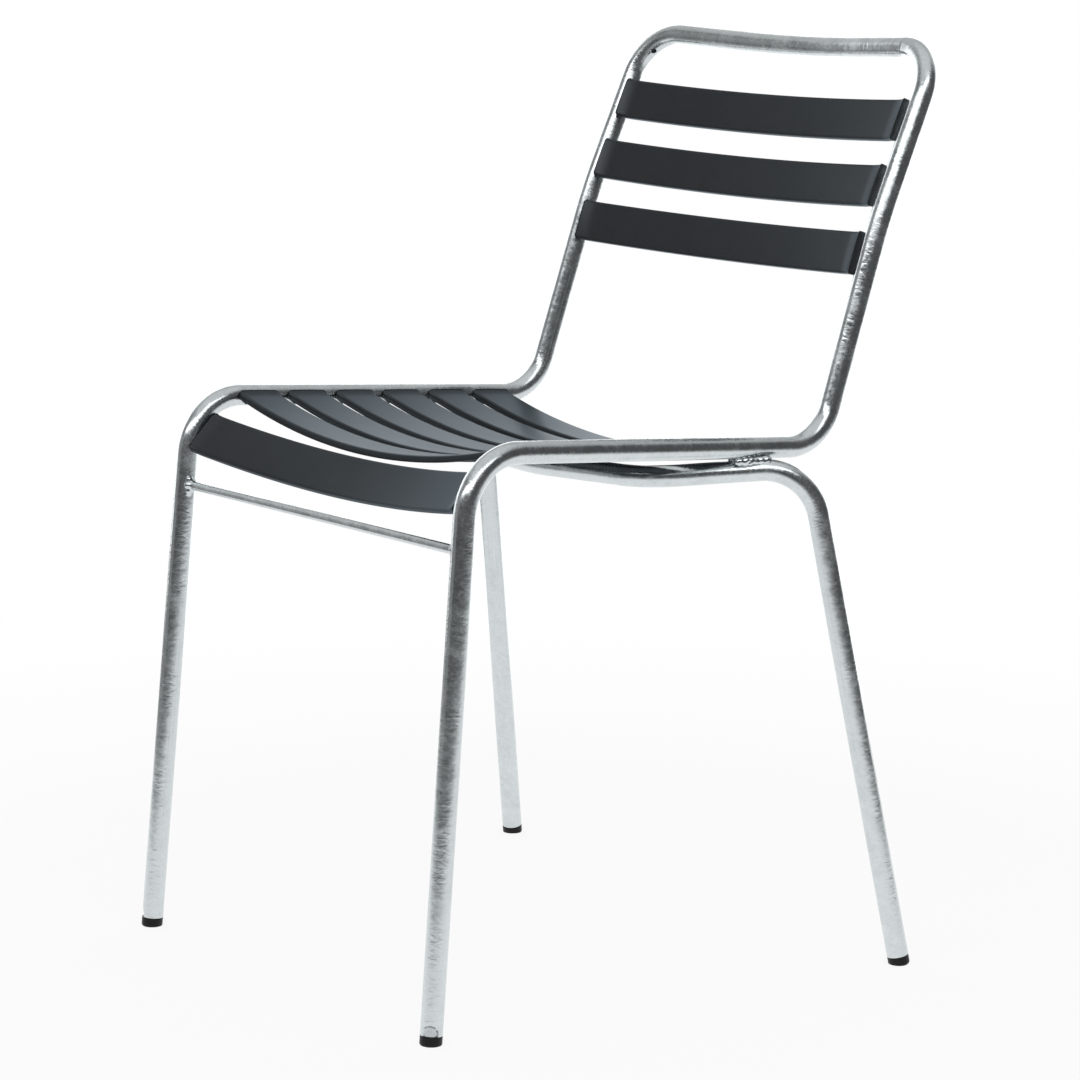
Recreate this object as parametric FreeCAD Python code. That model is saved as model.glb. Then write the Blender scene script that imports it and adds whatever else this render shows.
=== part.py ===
import FreeCAD, Part
import math
import os

# Stacking bistro chair: one bent steel tube makes the front legs, the seat rails, the back
# uprights and the top rail, and a second one makes the rear legs and the cross tube under the
# seat. Ten moulded slats are pinned to the tubes. Millimetres, +Z up, the chair faces -Y, and
# the origin is on the floor below the middle of the front feet before the model is centred.

Vec = FreeCAD.Vector

# Tube stock
tube_diameter = 19.0
tube_wall = 1.5
weld_gap = 0.3

# Main frame, right-hand half: corners of the centre line before the bends are rounded
front_foot_half_width = 212.0
front_corner_half_width = 203.2
front_leg_lean = 42.1
seat_front_height = 480.6
rear_corner_half_width = 200.4
seat_depth = 382.2
seat_fall = 28.3
upright_kink_height = 191.8
upright_kink_back = 66.0
top_corner_half_width = 197.1
top_corner_height = 147.1
top_corner_back = 67.0
top_rail_bow = 20.0
front_bend_radius = 52.0
rear_bend_radius = 48.0
upright_kink_radius = 560.0
top_bend_radius = 46.0
top_bow_radius = 800.0

# Rear legs and cross tube
rear_foot_half_width = 277.0
rear_foot_back = 462.5
rear_corner_out = 230.0
rear_corner_back = 386.0
cross_corner_out = 150.2
cross_corner_back = 270.6
cross_run_fall = 9.5
cross_dip = 7.5
rear_leg_bend_radius = 48.5
cross_bend_radius = 62.5
cross_dip_radius = 400.0

# Front cross rod
rod_diameter = 8.0
rod_drop = 78.8
rod_end_gap = 0.15

# Slats
seat_slat_width = 40.6
back_slat_width = 37.8
slat_thickness = 2.8
slat_lip_depth = 6.4
slat_edge_radius = 2.2
slat_lip_wall = 2.8
slat_seat_gap = 0.2
slat_end_reach = 9.2
slat_end_slope = 28.0
slat_end_radius = 50.0
slat_boss_length = 10.0
seat_slat_count = 6
seat_slat_pitch = 52.1
first_slat_offset = 64.3
seat_slat_sag = 27.2
seat_end_height = 5.2
front_slat_angle = 63.2
front_slat_turn = -13.6
front_slat_sag = 22.7
front_end_height = -1.6
back_slat_count = 3
back_slat_pitch = 61.4
top_slat_drop = 70.8
back_slat_sag = 16.1
back_end_height = 11.1

# Slat pins, hidden between the boss at each slat end and the tube
pin_diameter = 3.0
pin_clearance = 0.15
pin_inset = 4.0
pin_cover = 1.0
pin_reach = 3.0
pin_hole_extra = 2.0

# Foot plugs
plug_height = 8.0
plug_edge_radius = 2.5
plug_sole_depth = 1.2
plug_stem_length = 12.0
plug_stem_clearance = 0.2

# Half-moon recess in the outer front of each front leg's end
recess_radius = 7.0
recess_rise = 2.9
recess_depth = 1.2

# Vent hole on the inside of each top corner, turned a little to the front
vent_diameter = 5.0
vent_turn = 16.0

# Weld beads
bead_radius = 3.2
bead_length = 26.0
bead_offset = 5.2
rod_bead_radius = 7.2
rod_bead_rise = 0.4
rod_bead_length = 4.5
rod_bead_bite = 3.0

tube_radius = tube_diameter / 2.0
bore_radius = tube_radius - tube_wall


def mirrored(point):
    """The same point on the other side of the chair."""
    return Vec(-point.x, point.y, point.z)


def along(start, end, share):
    """A point on the straight line from start to end."""
    return start + (end - start) * share


def unit(vector):
    """The vector at length one."""
    return vector / vector.Length


def bend(before, corner, after, radius):
    """Start, middle, end and centre of the arc that rounds one corner."""
    back = unit(before - corner)
    ahead = unit(after - corner)
    half = back.getAngle(ahead) / 2.0
    reach = radius / math.tan(half)
    bisector = unit(back + ahead)
    centre = corner + bisector * (radius / math.sin(half))
    middle = centre - bisector * radius
    return corner + back * reach, middle, corner + ahead * reach, centre


def bent_path(corners, radii):
    """A wire of straight runs and tangent arcs through the corners."""
    edges = []
    last = corners[0]
    for index in range(1, len(corners) - 1):
        start, middle, end, _ = bend(corners[index - 1], corners[index], corners[index + 1],
                                     radii[index - 1])
        edges.append(Part.LineSegment(last, start).toShape())
        edges.append(Part.Arc(start, middle, end).toShape())
        last = end
    edges.append(Part.LineSegment(last, corners[-1]).toShape())
    return Part.Wire(edges)


def ring_face(point, direction, outer, inner=0.0):
    """A disc, or a ring when inner is given, square to the direction."""
    outside = Part.Wire(Part.makeCircle(outer, point, direction))
    if inner <= 0.0:
        return Part.Face(outside)
    inside = Part.Wire(Part.makeCircle(inner, point, direction))
    return Part.Face(outside).cut(Part.Face(inside)).Faces[0]


def pipe(corners, radii, outer, inner=0.0):
    """A round bar or tube swept along the rounded path."""
    start_direction = unit(corners[1] - corners[0])
    section = ring_face(corners[0], start_direction, outer, inner)
    return bent_path(corners, radii).makePipe(section)


def rod_between(start, end, radius):
    """A straight round bar."""
    axis = end - start
    return Part.makeCylinder(radius, axis.Length, start, unit(axis))


# Corners of the main frame on the +X side
front_foot = Vec(front_foot_half_width, 0.0, 0.0)
front_corner = Vec(front_corner_half_width, front_leg_lean, seat_front_height)
rear_corner = front_corner + Vec(rear_corner_half_width - front_corner_half_width,
                                 seat_depth, -seat_fall)
top_rise = upright_kink_height + top_corner_height
kink_share = upright_kink_height / top_rise
top_corner = Vec(top_corner_half_width,
                 rear_corner.y + upright_kink_back + top_corner_back,
                 rear_corner.z + top_rise)
upright_kink = Vec(rear_corner.x + (top_corner.x - rear_corner.x) * kink_share,
                   rear_corner.y + upright_kink_back,
                   rear_corner.z + upright_kink_height)
back_lean = unit(top_corner - upright_kink)
back_normal = unit(Vec(0.0, back_lean.z, -back_lean.y))
top_middle = Vec(0.0, top_corner.y, top_corner.z) + back_normal * top_rail_bow

# Corners of the rear frame on the +X side. The run under the seat rail hangs from the rail.
rear_foot = Vec(rear_foot_half_width, rear_foot_back, 0.0)


def rail_point(y):
    """Centre of the seat rail at a depth y."""
    return along(front_corner, rear_corner, (y - front_corner.y) / (rear_corner.y - front_corner.y))


def crossing_share():
    """How far along the run under the seat the tube passes below the rail, seen from above."""
    low = 0.0
    high = 1.0
    for _ in range(40):
        share = (low + high) / 2.0
        x = rear_corner_out + (cross_corner_out - rear_corner_out) * share
        y = rear_corner_back + (cross_corner_back - rear_corner_back) * share
        if x > rail_point(y).x:
            low = share
        else:
            high = share
    return share


def hang_below_rail():
    """Drop from the rail's centre to the crossing tube's centre that leaves the weld gap."""
    rail = unit(rear_corner - front_corner)
    run = unit(Vec(cross_corner_out - rear_corner_out, cross_corner_back - rear_corner_back,
                   -cross_run_fall))
    across = unit(rail.cross(run))
    return (tube_diameter + weld_gap) / abs(across.z)


weld_share = crossing_share()
weld_y = rear_corner_back + (cross_corner_back - rear_corner_back) * weld_share
weld_height = rail_point(weld_y).z - hang_below_rail()
rear_leg_corner = Vec(rear_corner_out, rear_corner_back, weld_height + cross_run_fall * weld_share)
cross_corner = Vec(cross_corner_out, cross_corner_back, rear_leg_corner.z - cross_run_fall)
cross_middle = Vec(0.0, cross_corner_back, cross_corner.z - cross_dip)


def tube_end(foot, corner):
    """Where the tube stops above its foot plug."""
    return foot + unit(corner - foot) * plug_height


def main_corners():
    """Centre line of the main frame from one front foot to the other."""
    side = [tube_end(front_foot, front_corner), front_corner, rear_corner, upright_kink, top_corner]
    return side + [top_middle] + [mirrored(point) for point in reversed(side)]


def rear_corners():
    """Centre line of the rear frame from one rear foot to the other."""
    side = [tube_end(rear_foot, rear_leg_corner), rear_leg_corner, cross_corner]
    return side + [cross_middle] + [mirrored(point) for point in reversed(side)]


main_side_radii = [front_bend_radius, rear_bend_radius, upright_kink_radius, top_bend_radius]
main_radii = main_side_radii + [top_bow_radius] + list(reversed(main_side_radii))
rear_side_radii = [rear_leg_bend_radius, cross_bend_radius]
rear_radii = rear_side_radii + [cross_dip_radius] + list(reversed(rear_side_radii))


def raised(angle):
    """The direction square to a line that rises outwards at the angle."""
    return Vec(-math.sin(angle), 0.0, math.cos(angle))


def slat_line(slat, depth):
    """Points of the slat's line on the +X side, let down square to the top by the depth."""
    slope = math.radians(slat_end_slope)
    end = Vec(slat["half_span"] - slat_end_reach, 0.0, slat["end_height"])
    fall = slat["sag"] - slat_end_radius * (1.0 - math.cos(slope))
    belly = 2.0 * math.atan2(fall, end.x - slat_end_radius * math.sin(slope))
    centre = end + raised(slope) * slat_end_radius
    middle = centre - raised((slope + belly) / 2.0) * slat_end_radius
    stop = centre - raised(belly) * slat_end_radius
    lowest = Vec(0.0, 0.0, end.z - slat["sag"])
    pairs = ((end, raised(slope)), (middle, raised((slope + belly) / 2.0)),
             (stop, raised(belly)), (lowest, raised(0.0)))
    return [point - normal * depth for point, normal in pairs]


def slat_edges(points):
    """End bend, belly and end bend from one end of the slat to the other."""
    end, middle, stop, lowest = points
    return [Part.Arc(mirrored(end), mirrored(middle), mirrored(stop)).toShape(),
            Part.Arc(mirrored(stop), lowest, stop).toShape(),
            Part.Arc(stop, middle, end).toShape()]


def slat_layer(slat, depth, low_y, high_y):
    """A strip of the slat, as deep as asked, between two places across its width."""
    top = slat_line(slat, 0.0)
    under = slat_line(slat, depth)
    ends = [Part.LineSegment(top[0], under[0]).toShape(),
            Part.LineSegment(mirrored(top[0]), mirrored(under[0])).toShape()]
    outline = Part.Wire(Part.sortEdges(slat_edges(top) + slat_edges(under) + ends)[0])
    outline.translate(Vec(0.0, low_y, 0.0))
    return Part.Face(outline).extrude(Vec(0.0, high_y - low_y, 0.0))


def slat_bosses(slat):
    """The full depth of the slat near both ends, where the pins go in."""
    half = slat["width"] / 2.0
    full = slat_layer(slat, slat_lip_depth, -half, half)
    inner = slat["half_span"] - slat_end_reach - slat_boss_length
    room = 10.0 * slat_boss_length
    middle = Part.makeBox(2.0 * inner, 2.0 * half, 2.0 * room, Vec(-inner, -half, -room))
    return full.cut(middle).Solids


def slat_body(slat):
    """Flat-topped strip with two lips that turn down, end bosses and rounded long edges."""
    half = slat["width"] / 2.0
    strip = slat_layer(slat, slat_thickness, -half, half)
    strip = strip.fuse([slat_layer(slat, slat_lip_depth, -half, slat_lip_wall - half),
                        slat_layer(slat, slat_lip_depth, half - slat_lip_wall, half)]
                       + slat_bosses(slat))
    strip = strip.removeSplitter()
    top_wire = Part.Wire(slat_edges(slat_line(slat, 0.0)))
    rims = []
    for edge in strip.Edges:
        middle = edge.valueAt((edge.FirstParameter + edge.LastParameter) / 2.0)
        on_side = abs(abs(middle.y) - half) < 0.001 and edge.BoundBox.YLength < 0.001
        level = Part.Vertex(Vec(middle.x, 0.0, middle.z))
        if on_side and level.distToShape(top_wire)[0] < 0.001:
            rims.append(edge)
    return strip.makeFillet(slat_edge_radius, rims)


def pin_line(slat):
    """Outer end and inner end of the pin at the +X end, in slat axes.

    The pin points from the tube's centre at the middle of the boss, a little way from its end."""
    slope = math.radians(slat_end_slope)
    end = slat_line(slat, slat_lip_depth / 2.0)[0]
    target = end - Vec(math.cos(slope), 0.0, math.sin(slope)) * pin_inset
    centre = Vec(slat["half_span"], 0.0, 0.0)
    outward = unit(target - centre)
    top = target + outward * pin_cover
    foot = centre + outward * (bore_radius - pin_reach)
    return top, foot


def slat_set(name, centre, width_direction, width, sag, end_height):
    """What is needed to place one slat: its name, its axes and its shape."""
    tilt = math.degrees(math.atan2(width_direction.z, width_direction.y))
    place = FreeCAD.Placement(Vec(0.0, centre.y, centre.z), FreeCAD.Rotation(Vec(1, 0, 0), tilt))
    return {"name": name, "place": place, "half_span": centre.x, "width": width, "sag": sag,
            "end_height": end_height}


def bend_point(angle_from_rail, turn):
    """Centre line point on the front bend, and the rail-ward direction there after a turn."""
    start, middle, end, centre = bend(front_foot, front_corner, rear_corner, front_bend_radius)
    rail_direction = unit(rear_corner - front_corner)
    up = unit(end - centre)
    angle = math.radians(angle_from_rail)
    outward = up * math.cos(angle) - rail_direction * math.sin(angle)
    turned = angle + math.radians(turn)
    width = rail_direction * math.cos(turned) + up * math.sin(turned)
    return centre + outward * front_bend_radius, width


def seat_slats():
    """The slat on the front bend and the flat ones behind it."""
    point, width = bend_point(front_slat_angle, front_slat_turn)
    slats = [slat_set("seat_slat_front", point, width, seat_slat_width, front_slat_sag,
                      front_end_height)]
    direction = unit(rear_corner - front_corner)
    for index in range(seat_slat_count):
        centre = front_corner + direction * (first_slat_offset + index * seat_slat_pitch)
        name = "seat_slat_%d" % (index + 1)
        slats.append(slat_set(name, centre, direction, seat_slat_width, seat_slat_sag,
                              seat_end_height))
    return slats


def upright_point(distance):
    """Centre line point and direction of the upright, measured down from the top corner."""
    upper = (top_corner - upright_kink).Length
    if distance <= upper:
        return top_corner - unit(top_corner - upright_kink) * distance, unit(top_corner - upright_kink)
    direction = unit(upright_kink - rear_corner)
    return upright_kink - direction * (distance - upper), direction


def back_slats():
    """The slats between the uprights, from the top down."""
    slats = []
    names = ["back_slat_top", "back_slat_middle", "back_slat_bottom"]
    for index in range(back_slat_count):
        point, direction = upright_point(top_slat_drop + index * back_slat_pitch)
        slats.append(slat_set(names[index], point, direction, back_slat_width, back_slat_sag,
                              back_end_height))
    return slats


def placed(shape, slat):
    """A copy of the shape moved from slat axes to the chair."""
    copy = shape.copy()
    copy.transformShape(slat["place"].toMatrix(), True)
    return copy


def slat_pins(slat, radius, extra=0.0):
    """Both pins of a slat, or their holes when extra lengthens them into the tube."""
    top, foot = pin_line(slat)
    foot = foot - unit(top - foot) * extra
    shapes = []
    for one, other in ((top, foot), (mirrored(top), mirrored(foot))):
        shapes.append(placed(rod_between(other, one, radius), slat))
    return shapes


def foot_plug(foot, corner):
    """Plug flush with the tube, its stem in the bore and its bottom flat on the floor."""
    axis = unit(corner - foot)
    stem_radius = bore_radius - plug_stem_clearance
    low = -plug_sole_depth
    flat = tube_radius - plug_edge_radius
    round_x = flat + plug_edge_radius * math.sqrt(0.5)
    round_z = low + plug_edge_radius * (1.0 - math.sqrt(0.5))
    top = plug_height + plug_stem_length
    outline = [Vec(0, 0, low), Vec(flat, 0, low), Vec(tube_radius, 0, low + plug_edge_radius),
               Vec(tube_radius, 0, plug_height), Vec(stem_radius, 0, plug_height),
               Vec(stem_radius, 0, top), Vec(0, 0, top)]
    edges = [Part.LineSegment(outline[0], outline[1]).toShape(),
             Part.Arc(outline[1], Vec(round_x, 0, round_z), outline[2]).toShape()]
    for index in range(2, 6):
        edges.append(Part.LineSegment(outline[index], outline[index + 1]).toShape())
    edges.append(Part.LineSegment(outline[6], outline[0]).toShape())
    plug = Part.Face(Part.Wire(edges)).revolve(Vec(0, 0, 0), Vec(0, 0, 1), 360)
    turn = FreeCAD.Rotation(Vec(0, 0, 1), axis)
    plug.transformShape(FreeCAD.Placement(foot, turn).toMatrix(), True)
    room = 2.0 * tube_diameter
    below_floor = Part.makeBox(2 * room, 2 * room, room, Vec(foot.x - room, foot.y - room, -room))
    return plug.cut(below_floor)


def foot_recess(foot, corner):
    """Cut for the half-moon recess: a round hole that stops at a smaller cylinder."""
    axis = unit(corner - foot)
    end = foot + axis * plug_height
    outward = unit(Vec(foot.x, -abs(foot.x), 0.0))
    centre = end + axis * recess_rise
    hole = rod_between(centre, centre + outward * tube_diameter, recess_radius)
    core = rod_between(foot, end + axis * 2.0 * tube_diameter, tube_radius - recess_depth)
    return hole.cut(core)


def vent_hole():
    """Round hole on the inside of the top corner."""
    start, middle, end, centre = bend(upright_kink, top_corner, top_middle, top_bend_radius)
    turn = math.radians(vent_turn)
    inward = unit(centre - middle) * math.cos(turn) - back_normal * math.sin(turn)
    return rod_between(middle, middle + inward * tube_diameter, vent_diameter / 2.0)


def both_sides(shape):
    """The shape and its mirror image."""
    return [shape, shape.mirror(Vec(0, 0, 0), Vec(1, 0, 0))]


def rod_centre():
    """Where the line of the cross rod meets the centre line of the +X front leg."""
    share = (seat_front_height - rod_drop) / seat_front_height
    return along(front_foot, front_corner, share)


def cross_rod(leg_cut):
    """Round rod between the front legs, coped to their inner sides."""
    centre = rod_centre()
    bar = rod_between(mirrored(centre), centre, rod_diameter / 2.0)
    return max(bar.cut(leg_cut).Solids, key=lambda solid: solid.Volume)


def rod_beads(leg_solid, rod):
    """A weld ring at each end of the rod."""
    inner = Vec(-1, 0, 0)
    start = rod_centre() + inner * (tube_radius - rod_bead_bite)
    bead = Part.makeCone(rod_bead_radius, rod_diameter / 2.0 + rod_bead_rise,
                         rod_bead_length + rod_bead_bite, start, inner)
    beads = []
    for shape in both_sides(bead):
        rest = shape.cut(leg_solid).cut(rod)
        beads.append(max(rest.Solids, key=lambda solid: solid.Volume))
    return Part.makeCompound(beads)


def frame_beads(main_outer, rear_outer):
    """Weld beads in the two crevices where each rear leg tube passes under its seat rail."""
    rail_direction = unit(rear_corner - front_corner)
    run_direction = unit(rear_leg_corner - cross_corner)
    between = unit(rail_direction + run_direction)
    upper = rail_point(weld_y)
    middle = Vec(upper.x, upper.y, (upper.z + weld_height) / 2.0)
    side = unit(between.cross(Vec(0, 0, 1)))
    beads = []
    for sign in (1.0, -1.0):
        centre = middle + side * (bead_offset * sign)
        start = centre - between * (bead_length / 2.0)
        end = centre + between * (bead_length / 2.0)
        capsule = rod_between(start, end, bead_radius)
        capsule = capsule.fuse(Part.makeSphere(bead_radius, start))
        capsule = capsule.fuse(Part.makeSphere(bead_radius, end))
        rest = capsule.cut(main_outer).cut(rear_outer)
        bead = max(rest.Solids, key=lambda solid: solid.Volume)
        beads.extend(both_sides(bead))
    return Part.makeCompound(beads)


def build():
    """Every piece of the chair by name."""
    main_outer = pipe(main_corners(), main_radii, tube_radius)
    rear_outer = pipe(rear_corners(), rear_radii, tube_radius)
    main_tube = pipe(main_corners(), main_radii, tube_radius, bore_radius)
    rear_tube = pipe(rear_corners(), rear_radii, tube_radius, bore_radius)
    slat_clear = pipe(main_corners(), main_radii, tube_radius + slat_seat_gap)

    cuts = both_sides(foot_recess(front_foot, front_corner)) + both_sides(vent_hole())
    pieces = {}
    pins = {"seat_slat_pins": [], "back_slat_pins": []}
    for group, slats in (("seat_slat_pins", seat_slats()), ("back_slat_pins", back_slats())):
        for slat in slats:
            body = placed(slat_body(slat), slat)
            body = body.cut(slat_clear)
            holes = slat_pins(slat, pin_diameter / 2.0 + pin_clearance, extra=pin_hole_extra)
            body = body.cut(Part.makeCompound(holes))
            pieces[slat["name"]] = max(body.Solids, key=lambda solid: solid.Volume)
            pins[group].extend(slat_pins(slat, pin_diameter / 2.0))
            cuts.extend(holes)
    pieces["main_frame_tube"] = main_tube.cut(cuts)
    pieces["rear_leg_tube"] = rear_tube
    leg_cut = pipe(main_corners(), main_radii, tube_radius + rod_end_gap)
    rod = cross_rod(leg_cut)
    pieces["front_cross_rod"] = rod
    pieces["front_rod_welds"] = rod_beads(main_outer, rod)
    pieces["rear_frame_welds"] = frame_beads(main_outer, rear_outer)
    for group, shapes in pins.items():
        pieces[group] = Part.makeCompound(shapes)
    plugs = (("front", front_foot, front_corner), ("rear", rear_foot, rear_leg_corner))
    for label, foot, corner in plugs:
        left, right = both_sides(foot_plug(foot, corner))
        pieces["foot_plug_%s_left" % label] = left
        pieces["foot_plug_%s_right" % label] = right
    return pieces


def main():
    """Centre the chair over the origin and write one file for each piece."""
    os.makedirs("parts", exist_ok=True)
    pieces = build()
    whole = Part.makeCompound(list(pieces.values())).optimalBoundingBox(False, False)
    shift = Vec(-(whole.XMin + whole.XMax) / 2.0, -(whole.YMin + whole.YMax) / 2.0, -whole.ZMin)
    print("size", [round(v, 2) for v in (whole.XLength, whole.YLength, whole.ZLength)],
          "moved by", [round(v, 2) for v in shift])
    for name, shape in pieces.items():
        shape.translate(shift)
        shape.exportStep("parts/%s.step" % name)
        box = shape.optimalBoundingBox(False, False)
        print(name, "solids", len(shape.Solids), "valid", shape.isValid(),
              "volume", round(shape.Volume, 1),
              [round(v, 1) for v in (box.XMin, box.YMin, box.ZMin, box.XMax, box.YMax, box.ZMax)])


main()
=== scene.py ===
# %% [markdown]
# # A stacking bistro chair: bent zinc-coated tube, curved slats and black foot plugs
#
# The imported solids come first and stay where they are. Each cell below makes one kind of piece or
# one finish over them, and says what it is on the real chair and why it is made the way it is.

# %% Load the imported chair
import math
import bpy
import numpy as np
from mathutils import Matrix, Vector


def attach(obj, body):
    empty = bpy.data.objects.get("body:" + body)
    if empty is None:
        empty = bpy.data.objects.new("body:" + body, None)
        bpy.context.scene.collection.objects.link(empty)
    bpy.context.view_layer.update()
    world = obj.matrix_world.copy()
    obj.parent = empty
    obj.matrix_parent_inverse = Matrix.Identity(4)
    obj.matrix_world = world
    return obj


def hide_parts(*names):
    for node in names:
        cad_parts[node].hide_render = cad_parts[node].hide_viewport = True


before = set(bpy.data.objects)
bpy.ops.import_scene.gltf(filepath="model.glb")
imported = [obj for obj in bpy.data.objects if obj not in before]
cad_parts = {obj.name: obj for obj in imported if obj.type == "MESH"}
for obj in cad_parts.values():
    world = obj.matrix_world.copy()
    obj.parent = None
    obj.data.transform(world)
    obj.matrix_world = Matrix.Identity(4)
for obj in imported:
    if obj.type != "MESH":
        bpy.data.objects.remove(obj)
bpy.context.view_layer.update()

# %% [markdown]
# ## Working measures
#
# The chair was laid out in millimetres, with the front feet at depth zero. The same measures are
# used here, and the last step of every piece turns them into metres about the chair's middle.

# %% Measures, millimetres
MILLIMETRE = 0.001
MIDDLE = np.array([0.0, 285.95, 0.0])
TUBE = 9.5
STEP = 2.0
PLUG_HEIGHT = 8.0
FRONT_BEND = 52.0
TOP_BEND = 46.0
WELD_GAP = 0.3
RUN_FALL = 9.5
REAR_CORNER = (230.0, 386.0)
CROSS_CORNER = (150.2, 270.6)


def at(x, y, z):
    """One point, in millimetres."""
    return np.array([x, y, z], float)


def unit(v):
    """Vectors divided by their own lengths."""
    return v / np.linalg.norm(v, axis=-1, keepdims=True)


def other_side(point):
    """The point with its left and right exchanged."""
    return point * at(-1, 1, 1)


# %% [markdown]
# ## Bent paths
#
# A tube is bent on a roller or a mandrel, so its centre line is straight runs joined by arcs that
# are tangent to both neighbours. A polyline with a radius at each corner says just that. The points
# are then spread evenly along the length, so that grain and dents keep one scale everywhere.

# %% Paths of straight runs and arcs
def length_along(line):
    """Running length of a line of points."""
    return np.concatenate(([0.0], np.cumsum(np.linalg.norm(np.diff(line, axis=0), axis=1))))


def rounded(corners, radii, step):
    """Points a fixed step apart along a polyline whose corners are arcs.

    An arc of radius r between two runs that meet at twice the angle h starts r / tan h before the
    corner, and its centre lies r / sin h away along the line that halves the corner."""
    parts, last = [], corners[0]
    for before, corner, after, radius in zip(corners[:-2], corners[1:-1], corners[2:], radii):
        back, ahead = unit(before - corner), unit(after - corner)
        half = 0.5 * math.acos(np.clip(back @ ahead, -1.0, 1.0))
        centre = corner + unit(back + ahead) * radius / math.sin(half)
        start = corner + back * radius / math.tan(half)
        run = np.linspace(0.0, 1.0, 60, endpoint=False)[:, None]
        turn = run * (math.pi - 2.0 * half)
        parts.append(last + (start - last) * run)
        parts.append(centre + radius * (np.cos(turn) * unit(start - centre) - np.sin(turn) * back))
        last = corner + ahead * radius / math.tan(half)
    parts.append(last + (corners[-1] - last) * np.linspace(0.0, 1.0, 60)[:, None])
    points = np.concatenate(parts)
    length = length_along(points)
    even = np.linspace(0.0, length[-1], int(length[-1] / step) + 1)
    return np.stack([np.interp(even, length, points[:, k]) for k in range(points.shape[1])], 1)


front_foot, front_corner = at(212, 0, 0), at(203.2, 42.1, 480.6)
rear_corner = at(200.4, 424.3, 452.3)
top_corner = at(197.1, 557.3, 791.2)
upright_kink = at(rear_corner[0] - 3.3 * 191.8 / 338.9, 490.3, 644.1)
lean = unit(top_corner - upright_kink)
back_face = unit(at(0, lean[2], -lean[1]))
top_middle = at(0, top_corner[1], top_corner[2]) + back_face * 20.0

frame_side = [front_foot + unit(front_corner - front_foot) * PLUG_HEIGHT,
              front_corner, rear_corner, upright_kink, top_corner]
frame_corners = frame_side + [top_middle] + [other_side(p) for p in reversed(frame_side)]
side_radii = [FRONT_BEND, 48, 560, TOP_BEND]
frame_line = rounded(frame_corners, side_radii + [800] + side_radii[::-1], STEP)


def rail_point(depth):
    """Centre of the seat rail at a depth, on the straight line between its two corners."""
    share = (depth - front_corner[1]) / (rear_corner[1] - front_corner[1])
    return front_corner + (rear_corner - front_corner) * share


# The rear tube passes under the rail where the two lines cross in plan, one tube lower.
run_plan = at(CROSS_CORNER[0] - REAR_CORNER[0], CROSS_CORNER[1] - REAR_CORNER[1], -RUN_FALL)
rail_run = rear_corner - front_corner
gap = np.array(REAR_CORNER) - front_corner[:2]
weld_share = ((rail_run[0] * gap[1] - rail_run[1] * gap[0])
              / (run_plan[0] * rail_run[1] - run_plan[1] * rail_run[0]))
weld_depth = REAR_CORNER[1] + run_plan[1] * weld_share
drop = (2 * TUBE + WELD_GAP) / abs(unit(np.cross(rail_run, run_plan))[2])
weld_low = rail_point(weld_depth)[2] - drop
rear_foot = at(277, 462.5, 0)
rear_leg_corner = at(*REAR_CORNER, weld_low + RUN_FALL * weld_share)
cross_corner = rear_leg_corner + run_plan
cross_middle = at(0, CROSS_CORNER[1], cross_corner[2] - 7.5)
rear_side = [rear_foot + unit(rear_leg_corner - rear_foot) * PLUG_HEIGHT, rear_leg_corner, cross_corner]
rear_corners = rear_side + [cross_middle] + [other_side(p) for p in reversed(rear_side)]
rear_line = rounded(rear_corners, [48.5, 62.5, 400, 62.5, 48.5], STEP)
print("frame line", len(frame_line), "points; rear line", len(rear_line), "points")
print("the tubes cross at share", round(weld_share, 4), "of the run under the seat")

# %% [markdown]
# ## From grids to meshes
#
# Every new piece is a grid of points: rows run along the piece and columns run around it. One
# function joins the grid into faces, closes the ends and hands the mesh to the frame. It also keeps
# for each point where it would lie if the piece were pulled straight, so that a finish can have
# streaks and dents that follow the piece without a seam.

# %% Grid to mesh
def to_metres(points):
    """Millimetres about the front feet become metres about the chair's middle."""
    return (points - MIDDLE) * MILLIMETRE


def grid_faces(rows, columns):
    """Quads between neighbouring rows and columns; the last column joins the first."""
    low = np.arange((rows - 1) * columns).reshape(rows - 1, columns)
    right = np.roll(low, -1, axis=1)
    return np.stack([low, right, right + columns, low + columns], -1).reshape(-1, 4)


def piece(name, grid, straight, finish, node=None, crease=35.0):
    """A closed mesh from a grid of points, with one flat face at each end.

    A grid with four axes holds several solids of one piece, such as a group of welds."""
    solids = grid.reshape((-1,) + grid.shape[-3:])
    rows, columns = solids.shape[1:3]
    ring = np.arange(columns)
    ends = [ring[::-1].tolist(), (ring + (rows - 1) * columns).tolist()]
    one = grid_faces(rows, columns).tolist() + ends
    faces = [[v + k * rows * columns for v in face] for k in range(len(solids)) for face in one]
    mesh = bpy.data.meshes.new(name)
    mesh.from_pydata(to_metres(grid.reshape(-1, 3)).tolist(), [], faces)
    laid = mesh.attributes.new("laid_straight", "FLOAT_VECTOR", "POINT")
    laid_points = (straight.reshape(-1, 3) * MILLIMETRE).astype(np.float32)
    laid.data.foreach_set("vector", laid_points.ravel())
    mesh.polygons.foreach_set("use_smooth", np.ones(len(mesh.polygons), bool))
    mesh.set_sharp_from_angle(angle=math.radians(crease))
    mesh.materials.append(finish)
    mesh.validate()
    made = bpy.data.objects.new(name, mesh)
    bpy.context.scene.collection.objects.link(made)
    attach(made, "root")
    if node:
        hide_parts(node)
    volume = signed_volume(mesh)
    print(f"{name}: {len(mesh.polygons)} faces, volume {volume * 1e6:.1f} cm3")
    return made


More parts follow.
